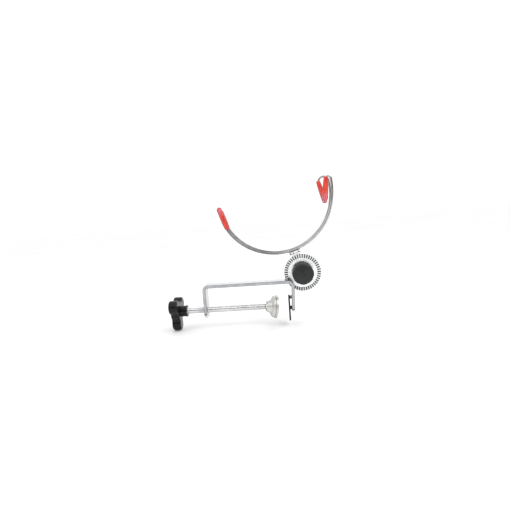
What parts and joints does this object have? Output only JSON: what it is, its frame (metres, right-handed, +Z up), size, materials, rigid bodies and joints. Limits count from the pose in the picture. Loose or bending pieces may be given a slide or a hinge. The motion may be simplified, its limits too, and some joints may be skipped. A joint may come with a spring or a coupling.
{
  "type": "airbrush holder",
  "caption": "Clamp-on airbrush holder: a wire cradle with red vinyl tips on a toothed pivot, over a bent-bar screw clamp.",
  "frame": {"origin": "on the clamp screw's axis, on the clamping face of the jaw pad", "axes": "+X runs along the clamp screw from its knob to the fixed jaw, +Z is up towards the cradle's open side, +Y runs to the back, from the joint knob towards the rear wire"},
  "size_m": [0.1712, 0.0539, 0.1476],
  "materials": {
    "zinc_plate": "bright zinc plate, satin",
    "nickel_plate": "nickel plate, satin",
    "screw_steel": "bright rolled thread",
    "wire_steel": "bright drawn wire",
    "brass_insert": "machined",
    "black_plastic": "satin moulded",
    "black_rubber": "moulded",
    "red_vinyl": "glossy dipped vinyl"
  },
  "bodies": {
    "bracket": {"clamp_bracket": "zinc_plate", "jaw_pad": "black_rubber", "fixed_disc": "zinc_plate"},
    "arm": {"moving_disc": "zinc_plate", "pivot_bolt": "zinc_plate", "front_cradle_wire": "wire_steel", "rear_cradle_wire": "wire_steel", "front_left_tip": "red_vinyl", "rear_left_tip": "red_vinyl", "front_right_tip": "red_vinyl", "rear_right_tip": "red_vinyl"},
    "knob_carrier": {"knob_washer": "zinc_plate"},
    "knob": {"joint_knob": "black_plastic", "joint_knob_insert": "brass_insert"},
    "foot_carrier": {"screw_collar": "screw_steel"},
    "screw": {"clamp_screw": "screw_steel", "screw_knob": "black_plastic", "screw_knob_insert": "zinc_plate"},
    "foot": {"swivel_foot": "nickel_plate"}
  },
  "joints": [
    {"name": "arm_swing", "type": "hinge", "parent": "bracket", "child": "arm", "pos_m": [0.0163, 0, 0.031], "axis": [0, 1, 0], "continuous": true},
    {"name": "knob_travel", "type": "slide", "parent": "arm", "child": "knob_carrier", "axis": [0, -1, 0], "range_m": [0, 0.002]},
    {"name": "knob_turn", "type": "hinge", "parent": "knob_carrier", "child": "knob", "pos_m": [0.0163, 0, 0.031], "axis": [0, 1, 0], "range_deg": [-724, 1]},
    {"name": "screw_travel", "type": "slide", "parent": "bracket", "child": "foot_carrier", "axis": [1, 0, 0], "range_m": [-0.056, 0.007]},
    {"name": "screw_turn", "type": "hinge", "parent": "foot_carrier", "child": "screw", "pos_m": [-0.06, 0, 0], "axis": [1, 0, 0], "range_deg": [-20180, 2540]},
    {"name": "foot_tilt", "type": "hinge", "parent": "foot_carrier", "child": "foot", "pos_m": [-0.0205, 0, 0], "axis": [0, 1, 0], "range_deg": [-20, 4]}
  ],
  "couplings": [
    {"joint": "screw_turn", "follows": "screw_travel", "rad_per_m": 6283.2},
    {"joint": "knob_turn", "follows": "knob_travel", "rad_per_m": -6283.2}
  ]
}
